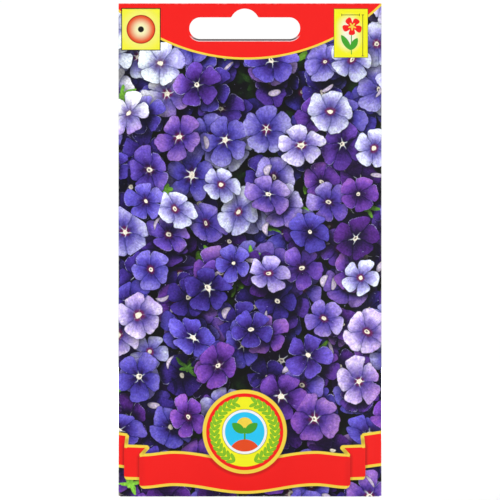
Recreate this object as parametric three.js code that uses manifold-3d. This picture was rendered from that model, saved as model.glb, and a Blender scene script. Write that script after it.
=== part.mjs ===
// A seed packet: one sheet of coated paper folded into a flat envelope. The side flaps are glued
// over the back panel, the header is glued shut and punched with a hang slot, and loose seeds
// lie at the bottom of the pouch.
//
// Millimetres, +Z up. The front faces -Y, with +X to the right as seen from the front. The origin
// is the top of the hang slot's dome, in the middle of the header's thickness, where a display
// peg carries the packet.
import * as THREE from 'three';
import { mergeVertices } from 'three/addons/utils/BufferGeometryUtils.js';
import Module from 'manifold-3d';

const wasm = await Module();
wasm.setup();

// Sheet
const packetWidth = 80;
const packetHeight = 150;
const paper = 0.2;
const glueFilm = 0.1;

// Hang slot: a slot with round ends and a dome in the middle of its upper side
const domeBelowTopEdge = 1.6;
const domeRadius = 4.5;
const domeFilletRadius = 0.5;
const domeRise = 2.65;
const slotWidth = 33.7;
const slotHeight = 6.6;
const slotOffCentre = 1.6; // the slot is punched this far to the left of the packet's middle

// Side flaps, and the films of glue
const flapWidth = 10;
const flapEndGap = 2.5;
const flapChamfer = 4;
const flapGlueMargin = 1.2;
const flapGlueEndGap = 5;
const headerGlueMargin = 1.2;

// Pouch: below the seal line the front panel stands forward of the back panel
const sealBelowTopEdge = 17.5;
const seamMargin = 1.4;
const pouchBulge = 2.4;
const pouchColumns = 18;
const pouchRows = 30;
const sideFullness = 2.4; // the power that shapes the bulge from side to side
const bottomHeaviness = 0.62; // under 1 it moves the deepest place down

// Seeds
const seedCount = 48;
const seedLength = 2.4;
const seedWidth = 1.5;
const seedThickness = 1.1;
const seedTaper = 0.18;
const seedFlatness = 0.3;
const seedClearance = 0.06;
const seedPitchAcross = 2.75;
const seedPitchUp = 2.05;
const seedJitter = 0.08;
const seedTurn = 0.42;
const heapHalfWidth = 12.5;
const seedRandomStart = 7;

// Places in the row frame
const middleX = slotOffCentre;
const topZ = domeBelowTopEdge;
const bottomZ = topZ - packetHeight;
const sealZ = topZ - sealBelowTopEdge;

// Depths are counted forwards from the flaps' outer face: flap, glue, back panel, glue, front panel
const flapFront = paper;
const backPanelBack = flapFront + glueFilm;
const backPanelFront = backPanelBack + paper;
const frontPanelBack = backPanelFront + glueFilm;
const frontPanelFront = frontPanelBack + paper;
const headerMiddle = (backPanelBack + frontPanelFront) / 2;

// Folds: half rings. The back panel's edges lie inside the side folds.
const sideFoldRadius = frontPanelFront / 2;
const bottomFoldRadius = (frontPanelFront - backPanelBack) / 2;
const frontPanelHalf = packetWidth / 2 - sideFoldRadius;
const backPanelHalf = frontPanelHalf - paper;
const foldOverlap = seamMargin / 2;
const foldSteps = 5;

const past = 1; // how far a cutting tool reaches past the face that it cuts

function yOfDepth(depth) {
  return headerMiddle - depth;
}

// Solids

function solidOf(geometry) {
  const shared = geometry.clone();
  shared.deleteAttribute('normal');
  shared.deleteAttribute('uv');
  const merged = mergeVertices(shared, 1e-5);
  return new wasm.Manifold(new wasm.Mesh({
    numProp: 3,
    vertProperties: Float32Array.from(merged.attributes.position.array),
    triVerts: Uint32Array.from(merged.index.array),
  }));
}

function geometryOf(solid) {
  const mesh = solid.getMesh();
  const geometry = new THREE.BufferGeometry();
  geometry.setAttribute('position', new THREE.BufferAttribute(mesh.vertProperties, 3));
  geometry.setIndex(new THREE.BufferAttribute(mesh.triVerts, 1));
  geometry.computeVertexNormals();
  return geometry;
}

// An outline drawn in X and Z, with its thickness between two depths
function plate(outline, backDepth, frontDepth, curveSegments = 10) {
  const settings = { depth: frontDepth - backDepth, bevelEnabled: false, curveSegments };
  const geometry = new THREE.ExtrudeGeometry(outline, settings);
  geometry.rotateX(Math.PI / 2);
  geometry.translate(0, yOfDepth(backDepth), 0);
  return geometry;
}

function rectangle(lowX, highX, lowZ, highZ) {
  return new THREE.Shape([
    new THREE.Vector2(lowX, lowZ),
    new THREE.Vector2(highX, lowZ),
    new THREE.Vector2(highX, highZ),
    new THREE.Vector2(lowX, highZ),
  ]);
}

// Hang slot

function slotOutline() {
  const endX = (slotWidth - slotHeight) / 2;
  const upperZ = -domeRise;
  const middleZ = upperZ - slotHeight / 2;
  const filletZ = upperZ + domeFilletRadius;
  const filletRise = filletZ + domeRadius;
  const filletX = Math.sqrt((domeRadius + domeFilletRadius) ** 2 - filletRise ** 2);
  const tangent = Math.atan2(filletRise, filletX);
  const quarter = Math.PI / 2;
  const outline = new THREE.Shape();
  outline.moveTo(-endX, upperZ - slotHeight);
  outline.lineTo(endX, upperZ - slotHeight);
  outline.absarc(endX, middleZ, slotHeight / 2, -quarter, quarter, false);
  outline.absarc(filletX, filletZ, domeFilletRadius, -quarter, tangent - Math.PI, true);
  outline.absarc(0, -domeRadius, domeRadius, tangent, Math.PI - tangent, false);
  outline.absarc(-filletX, filletZ, domeFilletRadius, -tangent, -quarter, true);
  outline.absarc(-endX, middleZ, slotHeight / 2, quarter, 3 * quarter, false);
  return outline;
}

function slotPunch() {
  return solidOf(plate(slotOutline(), -past, frontPanelFront + past));
}

// Front panel

// How far the front panel stands forward of its flat place
function bulge(x, z) {
  const across = Math.abs(x - middleX) / (frontPanelHalf - seamMargin);
  const up = (z - bottomZ - seamMargin) / (sealZ - bottomZ - seamMargin);
  if (across >= 1 || up <= 0 || up >= 1) {
    return 0;
  }
  return pouchBulge * (1 - across ** sideFullness) * Math.sin(Math.PI * up ** bottomHeaviness);
}

function evenSteps(low, high, count) {
  return Array.from({ length: count + 1 }, (_, i) => low + ((high - low) * i) / count);
}

// A box of one layer whose grid lines are moved to the seams, and whose pouch is then raised
function frontPanel() {
  const seamX = frontPanelHalf - seamMargin;
  const columns = [
    middleX - frontPanelHalf,
    ...evenSteps(middleX - seamX, middleX + seamX, pouchColumns),
    middleX + frontPanelHalf,
  ];
  const lowZ = bottomZ + bottomFoldRadius;
  const rows = [lowZ, ...evenSteps(bottomZ + seamMargin, sealZ, pouchRows), topZ];
  const countX = columns.length - 1;
  const countZ = rows.length - 1;
  const geometry = new THREE.BoxGeometry(1, 1, 1, countX, 1, countZ);
  const place = geometry.attributes.position;
  for (let i = 0; i < place.count; i += 1) {
    const x = columns[Math.round((place.getX(i) + 0.5) * countX)];
    const z = rows[Math.round((place.getZ(i) + 0.5) * countZ)];
    const depth = place.getY(i) < 0 ? frontPanelFront : frontPanelBack;
    place.setXYZ(i, x, yOfDepth(depth + bulge(x, z)), z);
  }
  return solidOf(geometry);
}

// Back panel with the bottom fold

function backPanel() {
  const centreY = yOfDepth((backPanelBack + frontPanelFront) / 2);
  const centreZ = bottomZ + bottomFoldRadius;
  const inner = bottomFoldRadius - paper;
  const outline = new THREE.Shape();
  outline.moveTo(yOfDepth(frontPanelFront), centreZ + foldOverlap);
  outline.absarc(centreY, centreZ, bottomFoldRadius, Math.PI, 2 * Math.PI, false);
  outline.lineTo(yOfDepth(backPanelBack), topZ);
  outline.lineTo(yOfDepth(backPanelFront), topZ);
  outline.absarc(centreY, centreZ, inner, 2 * Math.PI, Math.PI, true);
  outline.lineTo(yOfDepth(frontPanelBack), centreZ + foldOverlap);
  const settings = { depth: 2 * backPanelHalf, bevelEnabled: false, curveSegments: foldSteps };
  const geometry = new THREE.ExtrudeGeometry(outline, settings);
  const alongX = new THREE.Matrix4().makeBasis(
    new THREE.Vector3(0, 1, 0),
    new THREE.Vector3(0, 0, 1),
    new THREE.Vector3(1, 0, 0),
  );
  geometry.applyMatrix4(alongX);
  geometry.translate(middleX - backPanelHalf, 0, 0);
  return solidOf(geometry);
}

// Side flaps with their folds. side is 1 for the right and -1 for the left.

function flapProfile(side) {
  const centreY = yOfDepth(sideFoldRadius);
  const inner = sideFoldRadius - paper;
  const quarter = Math.PI / 2;
  const flapEdge = packetWidth / 2 - flapWidth;
  const outline = new THREE.Shape();
  outline.moveTo(frontPanelHalf - foldOverlap, yOfDepth(frontPanelFront));
  outline.absarc(frontPanelHalf, centreY, sideFoldRadius, -quarter, quarter, false);
  outline.lineTo(flapEdge, yOfDepth(0));
  outline.lineTo(flapEdge, yOfDepth(flapFront));
  outline.absarc(frontPanelHalf, centreY, inner, quarter, -quarter, true);
  outline.lineTo(frontPanelHalf - foldOverlap, yOfDepth(frontPanelBack));
  const points = outline.getPoints(foldSteps);
  return new THREE.Shape(points.map((p) => new THREE.Vector2(middleX + side * p.x, p.y)));
}

function flapCorner(side, up) {
  const foldX = middleX + side * (frontPanelHalf - foldOverlap);
  const edgeX = middleX + side * (packetWidth / 2 - flapWidth - past);
  const endZ = up > 0 ? topZ - flapEndGap : bottomZ + flapEndGap;
  const outline = new THREE.Shape([
    new THREE.Vector2(foldX, endZ + up * past),
    new THREE.Vector2(foldX, endZ),
    new THREE.Vector2(edgeX, endZ - up * flapChamfer),
    new THREE.Vector2(edgeX, endZ + up * past),
  ]);
  return solidOf(plate(outline, -past, flapFront + glueFilm / 2));
}

function sideFlap(side) {
  const length = packetHeight - 2 * flapEndGap;
  const settings = { depth: length, bevelEnabled: false };
  const geometry = new THREE.ExtrudeGeometry(flapProfile(side), settings);
  geometry.translate(0, 0, bottomZ + flapEndGap);
  return solidOf(geometry).subtract(flapCorner(side, 1)).subtract(flapCorner(side, -1));
}

function paperSheet() {
  const envelope = frontPanel().add(backPanel()).add(sideFlap(-1)).add(sideFlap(1));
  return geometryOf(envelope.subtract(slotPunch()));
}

// Glue

function flapGlue(side) {
  const innerX = packetWidth / 2 - flapWidth + flapGlueMargin;
  const edges = [middleX + side * innerX, middleX + side * (backPanelHalf - flapGlueMargin)];
  const gap = flapEndGap + flapGlueEndGap;
  const outline = rectangle(Math.min(...edges), Math.max(...edges), bottomZ + gap, topZ - gap);
  return plate(outline, flapFront, backPanelBack);
}

function headerGlue() {
  const half = backPanelHalf - headerGlueMargin;
  const lowZ = sealZ + headerGlueMargin;
  const outline = rectangle(middleX - half, middleX + half, lowZ, topZ - headerGlueMargin / 2);
  const film = solidOf(plate(outline, backPanelFront, frontPanelBack));
  return geometryOf(film.subtract(slotPunch()));
}

// Seeds

// A seeded draw from 0 to 1
function randomDraw(start) {
  let state = start;
  return () => {
    state = (state * 16807) % 2147483647;
    return state / 2147483647;
  };
}

// An egg shape with a flatter side, which lies on the plane y = 0
function seedGeometry() {
  const geometry = new THREE.SphereGeometry(1, 10, 6);
  geometry.rotateZ(Math.PI / 2);
  const place = geometry.attributes.position;
  for (let i = 0; i < place.count; i += 1) {
    const along = place.getX(i);
    const taper = 1 - seedTaper * along;
    const flattened = place.getY(i) - seedFlatness * Math.max(place.getY(i), 0) ** 3;
    place.setXYZ(
      i,
      (along * seedLength) / 2,
      (flattened * taper * seedThickness) / 2,
      (place.getZ(i) * taper * seedWidth) / 2,
    );
  }
  geometry.computeBoundingBox();
  geometry.translate(0, -geometry.boundingBox.max.y, 0);
  return geometry;
}

// The shallowest depth of the pouch over a seed's footprint
function roomOver(x, z) {
  const reach = seedLength / 2;
  const corners = [[-1, -1], [-1, 1], [1, -1], [1, 1]];
  return Math.min(...corners.map(([i, j]) => bulge(x + i * reach, z + j * reach)));
}

// Rows of the heap from the bottom up. A place is left empty where the pouch is too shallow.
function seedPlaces() {
  const draw = randomDraw(seedRandomStart);
  const need = seedThickness * (1 + seedTaper) + seedClearance;
  const reach = Math.ceil(heapHalfWidth / seedPitchAcross);
  const places = [];
  for (let row = 0; places.length < seedCount; row += 1) {
    for (let column = -reach; column <= reach && places.length < seedCount; column += 1) {
      const x = middleX + (column + (row % 2) / 2) * seedPitchAcross + (draw() - 0.5) * seedJitter;
      const z = bottomZ + seamMargin + row * seedPitchUp + (draw() - 0.5) * seedJitter;
      const turn = (draw() - 0.5) * seedTurn;
      if (Math.abs(x - middleX) <= heapHalfWidth && roomOver(x, z) >= need) {
        places.push({ x, z, turn });
      }
    }
  }
  return places;
}

// Materials

function finish(color, roughness) {
  return new THREE.MeshStandardMaterial({ color, roughness, metalness: 0 });
}

const printedPaper = finish(0x5a4fa8, 0.35);
const driedGlue = finish(0xe9e2cf, 0.5);
const seedCoat = finish(0x6b4a2f, 0.8);

// Packet

const packet = new THREE.Group();

function addPiece(name, geometry, material) {
  const piece = new THREE.Mesh(geometry, material);
  piece.name = name;
  packet.add(piece);
  return piece;
}

addPiece('paper_sheet', paperSheet(), printedPaper);
addPiece('left_flap_glue', flapGlue(-1), driedGlue);
addPiece('right_flap_glue', flapGlue(1), driedGlue);
addPiece('header_glue', headerGlue(), driedGlue);

seedPlaces().forEach(({ x, z, turn }, i) => {
  const seed = addPiece(`seed_${String(i + 1).padStart(2, '0')}`, seedGeometry(), seedCoat);
  seed.position.set(x, yOfDepth(backPanelFront + seedClearance), z);
  seed.rotation.y = turn;
});

export default packet;
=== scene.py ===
"""Seed packet: the finished look of a folded paper packet with a printed front, and its studio.

The paper is one sheet that is folded, filled out and punched. Its print is made of shader nodes
that read Object coordinates: a field of phlox blooms, a red header, two pictograms, a ribbon and
a seal. All lengths of meshes are in metres, and the print is laid out in millimetres.
"""

import math
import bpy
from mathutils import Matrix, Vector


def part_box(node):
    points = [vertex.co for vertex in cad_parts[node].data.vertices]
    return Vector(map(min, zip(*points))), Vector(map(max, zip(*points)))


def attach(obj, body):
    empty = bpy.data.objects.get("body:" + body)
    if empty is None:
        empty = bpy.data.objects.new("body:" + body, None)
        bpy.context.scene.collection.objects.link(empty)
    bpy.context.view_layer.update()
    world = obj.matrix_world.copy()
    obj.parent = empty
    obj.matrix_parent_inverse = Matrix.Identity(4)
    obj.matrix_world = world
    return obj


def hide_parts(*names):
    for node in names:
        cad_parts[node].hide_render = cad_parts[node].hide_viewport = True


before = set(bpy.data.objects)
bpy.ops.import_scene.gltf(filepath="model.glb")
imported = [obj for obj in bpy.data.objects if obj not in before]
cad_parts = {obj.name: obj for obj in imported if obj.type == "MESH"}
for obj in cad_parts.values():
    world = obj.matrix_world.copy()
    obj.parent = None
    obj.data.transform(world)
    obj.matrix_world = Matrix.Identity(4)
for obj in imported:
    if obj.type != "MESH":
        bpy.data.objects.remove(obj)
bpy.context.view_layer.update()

from types import SimpleNamespace

import bmesh
import bpy
import numpy as np
from bpy.props import FloatProperty, FloatVectorProperty, IntProperty, PointerProperty
from mathutils import Matrix, Vector

bl_info = {
    "name": "Seed packet",
    "version": (1, 0, 0),
    "blender": (4, 5, 0),
    "location": "View3D > Sidebar > Seed packet",
    "description": "Folds, prints and lights a paper seed packet",
    "category": "Object",
}

MM = 0.001
TAU = 2 * math.pi
SHEET = "paper_sheet"
GLUE_NODES = ("header_glue", "left_flap_glue", "right_flap_glue")
SEED_NODES = sorted(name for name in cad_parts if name.startswith("seed_"))
SHEET_LOW, SHEET_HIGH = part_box(SHEET)
MIDDLE_X = (SHEET_LOW.x + SHEET_HIGH.x) / 2
TOP_Z = SHEET_HIGH.z
BOTTOM_Z = SHEET_LOW.z
BACK_Y = SHEET_HIGH.y
HALF_WIDTH = SHEET_HIGH.x - MIDDLE_X
# The same places on the print, in millimetres
PRINT_MIDDLE = MIDDLE_X / MM
PRINT_TOP = TOP_Z / MM
PRINT_BOTTOM = BOTTOM_Z / MM


def linear(red, green, blue):
    """The linear colour of a screen colour from 0 to 255."""

    def channel(value):
        part = value / 255
        return part / 12.92 if part <= 0.04045 else ((part + 0.055) / 1.055) ** 2.4

    return (channel(red), channel(green), channel(blue))


def length(name, description, millimetres):
    """A length property, whose default is given in millimetres."""
    return FloatProperty(
        name=name, description=description, default=millimetres * MM, unit="LENGTH", precision=5
    )


def colour(name, description, red, green, blue):
    """A colour property, whose default is given as a screen colour from 0 to 255."""
    return FloatVectorProperty(
        name=name,
        description=description,
        default=linear(red, green, blue),
        subtype="COLOR",
        size=3,
        min=0,
        max=1,
    )


# Sizes and colours ------------------------------------------------------------------------------


class SheetSizes(bpy.types.PropertyGroup):
    """Sizes of the folded sheet. Depths run forwards from the flaps' outer face."""

    paper: length("Paper", "Thickness of the sheet", 0.2)
    glue: length("Glue film", "Gap that a film of glue fills", 0.1)
    seam: length("Seam margin", "Flat margin round the pouch", 1.4)
    seal: length("Seal line", "Distance of the pouch's top from the top edge", 17.5)
    bulge: length("Pouch bulge", "How far the pouch stands forward", 2.4)
    fullness: FloatProperty(
        name="Side fullness", description="Power of the bulge from side to side", default=2.4
    )
    heaviness: FloatProperty(
        name="Bottom heaviness", description="Under 1 it moves the bulge down", default=0.62
    )
    dent: length("Dents", "Depth of the soft dents in the pouch", 0.12)
    cell: length("Mesh cell", "Width of one face of the sheet", 1.1)
    flap: length("Flap width", "Width of a side flap", 10)
    flap_gap: length("Flap end gap", "Distance of a flap's end from the sheet's end", 2.5)
    flap_chamfer: length("Flap chamfer", "Slant of a flap's end", 4)


class SlotSizes(bpy.types.PropertyGroup):
    """Sizes of the hang slot, whose dome has its top at the origin."""

    width: length("Width", "Width of the whole slot", 33.7)
    height: length("Height", "Height of the straight part", 6.6)
    dome_radius: length("Dome radius", "Radius of the dome", 4.5)
    dome_rise: length("Dome rise", "Height of the dome over the straight part", 2.65)
    fillet: length("Dome fillet", "Radius between dome and straight part", 0.5)


class PrintColours(bpy.types.PropertyGroup):
    """Inks of the print."""

    red: colour("Red", "Header and ribbon", 255, 28, 24)
    dark_red: colour("Dark red", "Folds of the ribbon", 176, 14, 24)
    gold: colour("Gold", "Rims and trims", 255, 222, 74)
    yellow: colour("Yellow", "Pictogram fields and seal", 255, 252, 34)
    orange: colour("Orange", "Sun sign", 240, 80, 30)
    cream: colour("Cream", "Pale centres", 255, 250, 196)
    black: colour("Black", "Lines and dots", 28, 26, 26)
    green: colour("Green", "Leaves of the pictograms", 70, 170, 46)
    lime: colour("Lime", "Leaves of the wreath", 142, 203, 40)
    sky: colour("Sky", "Disc of the seal", 42, 208, 255)
    leaf: colour("Leaf", "Leaves between the blooms", 122, 186, 56)
    leaf_shade: colour("Leaf shade", "Shaded leaves", 34, 70, 30)
    ground: colour("Ground", "Deep shade between the blooms", 10, 8, 22)
    throat: colour("Throats", "Streaks round the eyes of the blooms", 34, 14, 66)
    eye: colour("Eyes", "Eyes of the blooms", 255, 246, 226)
    wine: colour("Wine", "Rings round the eyes of some blooms", 120, 18, 78)
    indigo: colour("Indigo", "Darkest blooms", 44, 25, 106)
    violet: colour("Violet", "Deep blooms", 68, 47, 148)
    blue: colour("Blue violet", "Middle blooms", 96, 84, 200)
    lavender: colour("Lavender", "Light blooms", 136, 124, 216)
    pale: colour("Pale lavender", "Pale blooms", 188, 184, 240)
    ice: colour("Ice white", "Whitest blooms", 240, 248, 255)
    bud: colour("Buds", "Rolled buds among the blooms", 238, 222, 240)
    back: colour("Back", "Pale ground of the back", 255, 252, 236)


class RawColours(bpy.types.PropertyGroup):
    """Colours of what isn't printed."""

    paper: colour("Paper", "Bare paper on edges and inside", 240, 238, 232)
    glue: colour("Glue", "Dried glue", 232, 224, 204)
    seed: colour("Seed", "Seed coat", 104, 74, 46)
    seed_dark: colour("Seed furrows", "Furrows of the seed coat", 48, 32, 20)
    floor: colour("Floor", "Studio floor", 248, 248, 248)


class StageSizes(bpy.types.PropertyGroup):
    """Camera, floor and lights."""

    view_height: length("View height", "Height that the camera sees at the packet", 152.1)
    view_distance: length("View distance", "Distance of the camera", 1000)
    floor_gap: length("Floor gap", "Height of the hanging packet over the floor", 14)
    floor_radius: length("Floor radius", "Radius of the floor", 1500)
    key: FloatProperty(name="Key light", description="Power of the key light", default=9.5)
    fill: FloatProperty(name="Fill light", description="Power of the fill light", default=5.0)
    back: FloatProperty(name="Back light", description="Power of the back light", default=12.0)
    floor: FloatProperty(name="Floor light", description="Power of the top light", default=42.0)
    ambient: FloatProperty(name="Ambient", description="Strength of the room's light", default=0.33)
    seed_smoothness: IntProperty(
        name="Seed smoothness", description="Levels of the seed's subdivision", default=1
    )


# Shader formulas --------------------------------------------------------------------------------

SOCKETS = {"number": "NodeSocketFloat", "vector": "NodeSocketVector", "colour": "NodeSocketColor"}
WHITE = (1.0, 1.0, 1.0)
BLACK = (0.0, 0.0, 0.0)


class Number:
    """A socket that carries one number, so that nodes are written as a formula."""

    def __init__(self, nodes, socket):
        self.nodes = nodes
        self.socket = socket

    def __add__(self, other):
        return self.nodes.calc("ADD", self, other)

    def __sub__(self, other):
        return self.nodes.calc("SUBTRACT", self, other)

    def __rsub__(self, other):
        return self.nodes.calc("SUBTRACT", other, self)

    def __mul__(self, other):
        return self.nodes.calc("MULTIPLY", self, other)

    def __truediv__(self, other):
        return self.nodes.calc("DIVIDE", self, other)

    def __rtruediv__(self, other):
        return self.nodes.calc("DIVIDE", other, self)

    def __abs__(self):
        return self.nodes.calc("ABSOLUTE", self)


class Nodes:
    """Adds nodes to one node tree and joins them."""

    COLUMNS = 12
    STEP = 190

    def __init__(self, tree):
        self.tree = tree
        self.count = 0

    def put(self, kind, *values, **settings):
        """A new node in the next free place of the grid, with values on its first inputs."""
        node = self.tree.nodes.new(kind)
        for name, value in settings.items():
            setattr(node, name, value)
        for value, socket in zip(values, node.inputs):
            self.plug(value, socket)
        column, row = self.count % self.COLUMNS, self.count // self.COLUMNS
        node.location = (column * self.STEP, -row * self.STEP)
        self.count += 1
        return node

    def plug(self, value, socket):
        """Joins a socket to the input, or sets the input to a constant."""
        if isinstance(value, Number):
            value = value.socket
        if isinstance(value, bpy.types.NodeSocket):
            self.tree.links.new(value, socket)
        elif socket.type == "RGBA" and len(value) == 3:
            socket.default_value = (*value, 1)
        else:
            socket.default_value = value

    def feed(self, node, **values):
        """Plugs values into a node's inputs by their names, with a low line for a space."""
        for name, value in values.items():
            self.plug(value, node.inputs[name.replace("_", " ")])

    def calc(self, operation, *values):
        return Number(self, self.put("ShaderNodeMath", *values, operation=operation).outputs[0])

    def vector(self, operation, *values, scale=None):
        node = self.put("ShaderNodeVectorMath", *values, operation=operation)
        if scale is not None:
            self.feed(node, Scale=scale)
        if operation in ("LENGTH", "DOT_PRODUCT", "DISTANCE"):
            return Number(self, node.outputs["Value"])
        return node.outputs["Vector"]

    def parts(self, vector):
        return [Number(self, part) for part in self.put("ShaderNodeSeparateXYZ", vector).outputs]

    def channels(self, tint):
        return [Number(self, part) for part in self.put("ShaderNodeSeparateColor", tint).outputs]

    def join(self, x, y, z=0.0):
        return self.put("ShaderNodeCombineXYZ", x, y, z).outputs[0]

    def turn(self, vector, angle):
        node = self.put("ShaderNodeVectorRotate", rotation_type="Z_AXIS")
        self.feed(node, Vector=vector, Angle=angle)
        return node.outputs[0]

    def step(self, value, low, high, start=0.0, end=1.0):
        """A smooth step from start to end while value goes from low to high."""
        settings = {"interpolation_type": "SMOOTHSTEP", "clamp": False}
        node = self.put("ShaderNodeMapRange", value, low, high, start, end, **settings)
        return Number(self, node.outputs["Result"])

    def mix(self, share, first, second, blend="MIX", clamp=True):
        settings = {"data_type": "RGBA", "blend_type": blend, "clamp_factor": clamp}
        node = self.put("ShaderNodeMix", share, **settings)
        self.plug(first, node.inputs[6])
        self.plug(second, node.inputs[7])
        return node.outputs[2]

    def dim(self, tint, light):
        """A colour times a number, which may be above 1."""
        return self.mix(light, BLACK, tint, clamp=False)

    def waver(self, vector, scale, reach, detail=1.0):
        """A soft random offset of at most about that reach."""
        red, green, _ = self.channels(self.noise(vector, scale, detail, "Color"))
        return self.join((red - 0.5) * reach, (green - 0.5) * reach)

    def noise(self, vector, scale, detail=2.0, output="Fac", **values):
        node = self.put("ShaderNodeTexNoise", vector)
        self.feed(node, Scale=scale, Detail=detail, **values)
        socket = node.outputs[output]
        return Number(self, socket) if output == "Fac" else socket

    def ramp(self, value, stops):
        node = self.put("ShaderNodeValToRGB", value)
        elements = node.color_ramp.elements
        for _ in range(len(stops) - len(elements)):
            elements.new(0.5)
        for element, (position, tint) in zip(elements, stops):
            element.position = position
            element.color = (*tint, 1)
        return node.outputs[0]

    def use(self, group, **values):
        """The outputs of a node group that is given those values."""
        node = self.put("ShaderNodeGroup", node_tree=group)
        self.feed(node, **values)
        return node.outputs

    def numbers(self, group, **values):
        """The same for a group that gives only numbers, by their names."""
        return {socket.name: Number(self, socket) for socket in self.use(group, **values)}

    def coordinates(self):
        return self.put("ShaderNodeTexCoord").outputs["Object"]

    def seen_by_camera(self):
        """1 where the camera looks straight at the surface, and 0 for bounced light."""
        return Number(self, self.put("ShaderNodeLightPath").outputs["Is Camera Ray"])


def new_group(name, inputs, outputs):
    """A shader node group with named sockets: its Nodes, its inputs and its output node."""
    tree = bpy.data.node_groups.new(name, "ShaderNodeTree")
    for label, kind in inputs.items():
        tree.interface.new_socket(name=label, in_out="INPUT", socket_type=SOCKETS[kind])
    for label, kind in outputs.items():
        tree.interface.new_socket(name=label, in_out="OUTPUT", socket_type=SOCKETS[kind])
    nodes = Nodes(tree)
    start = nodes.put("NodeGroupInput")
    sockets = {}
    for label, kind in inputs.items():
        socket = start.outputs[label]
        sockets[label] = Number(nodes, socket) if kind == "number" else socket
    return nodes, sockets, nodes.put("NodeGroupOutput")


def close_group(nodes, end, **values):
    """Joins the values to the group's outputs, and gives the finished group."""
    nodes.feed(end, **values)
    return nodes.tree


def cached_group(name, build, *values):
    """The node group of that name, built the first time that it is asked for."""
    return bpy.data.node_groups.get(name) or build(name, *values)


# Blooms -----------------------------------------------------------------------------------------

PETALS = 5
HALF_SECTOR = math.pi / PETALS
# A petal in the bloom's own plane, where the bloom's radius is about 1
PETAL_MIDDLE = 0.57
PETAL_HALF = 0.42
PETAL_ROOT = 0.19
PETAL_FLARE = 0.42
PETAL_SKEW = 0.12
SHOULDER = 2.5
HEART_RADIUS = 0.42
EYE_EDGE = (0.09, 0.125)
PINHOLE = (0.015, -0.015, 0.0)
PINHOLE_EDGE = (0.02, 0.07)
LIGHT_ANGLE = math.radians(125)
SHADOW_FALL = (0.12, -0.17, 0.0)
PURPLE_CAST = (1.5, 0.6, 0.76)
SHADE_CAST = (0.7, 0.76, 1.3)
# The shares of cells that hold a bloom and a bud, and the number of leaves in a tuft
BLOOM_SHARE = 0.92
BUD_SHARE = 0.5
TUFT_LEAVES = 6
# The share by which a layer moves the place: too little to be seen
LAYER_TRACE = 1e-6


def fraction(number, factor):
    """Another random number from a random number."""
    return number.nodes.calc("FRACT", number * factor)


def build_petal_shape(name):
    """Five petals in a circle of radius 1: their outline, and where a point lies on its petal."""
    inputs = {"Place": "vector", "Width": "number", "Variety": "number"}
    outputs = dict.fromkeys(("Outline", "Across", "Side", "Petal angle", "Reach"), "number")
    nodes, given, end = new_group(name, inputs, outputs)
    x, y, _ = nodes.parts(given["Place"])
    reach = nodes.vector("LENGTH", given["Place"])
    angle = nodes.calc("ARCTAN2", y, x)
    side_angle = nodes.calc("WRAP", angle, HALF_SECTOR, -HALF_SECTOR)
    petal_angle = angle - side_angle
    along = reach * nodes.calc("COSINE", side_angle)
    across = reach * nodes.calc("SINE", side_angle)
    swell = nodes.calc("SINE", petal_angle * 3.0 + given["Variety"] * TAU) * 0.07 + 0.97
    sideways = across / ((along * PETAL_FLARE + PETAL_ROOT) * given["Width"])
    lengthways = (along / swell - PETAL_MIDDLE) / PETAL_HALF + sideways * PETAL_SKEW
    length_part = nodes.calc("POWER", abs(lengthways), SHOULDER)
    width_part = nodes.calc("POWER", abs(sideways), SHOULDER)
    petal = nodes.calc("POWER", length_part + width_part, 1 / SHOULDER)
    return close_group(
        nodes,
        end,
        Outline=nodes.calc("MINIMUM", petal, reach / HEART_RADIUS),
        Across=sideways,
        Side=side_angle / HALF_SECTOR,
        Petal_angle=petal_angle,
        Reach=reach,
    )


def petals_at(nodes, place, width, variety):
    """The petals that a place lies on, of that width and variety, by the names of their values."""
    group = cached_group("Petal shape", build_petal_shape)
    return nodes.numbers(group, Place=place, Width=width, Variety=variety)


def new_layer(name, *numbers):
    """A group that draws one layer over the colours below it, with inputs for those numbers."""
    inputs = {"Place": "vector", "Below": "colour", "Shift": "vector"}
    inputs.update(dict.fromkeys(numbers, "number"))
    return new_group(name, inputs, {"Color": "colour", "Place": "vector"})


def close_layer(nodes, given, end, cover, below, tint):
    """Draws the layer, and hands the same place on to the next one.

    The place is worked out after this layer, so that the layers are drawn one by one. Drawn side
    by side, they would need more working memory than the renderer has.
    """
    drawn = nodes.mix(cover, below, tint)
    trace = nodes.calc("MULTIPLY_ADD", cover, LAYER_TRACE, 1.0)
    place = nodes.vector("SCALE", given["Place"], scale=trace)
    return close_group(nodes, end, Color=drawn, Place=place)


def nearest_cell(nodes, place, cell, randomness):
    """Three random numbers of the nearest scattered cell, and the place of its centre."""
    scatter = nodes.put("ShaderNodeTexVoronoi", voronoi_dimensions="2D", feature="F1")
    nodes.feed(scatter, Vector=place, Scale=1.0 / cell, Randomness=randomness)
    return nodes.channels(scatter.outputs["Color"]), scatter.outputs["Position"]


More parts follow.
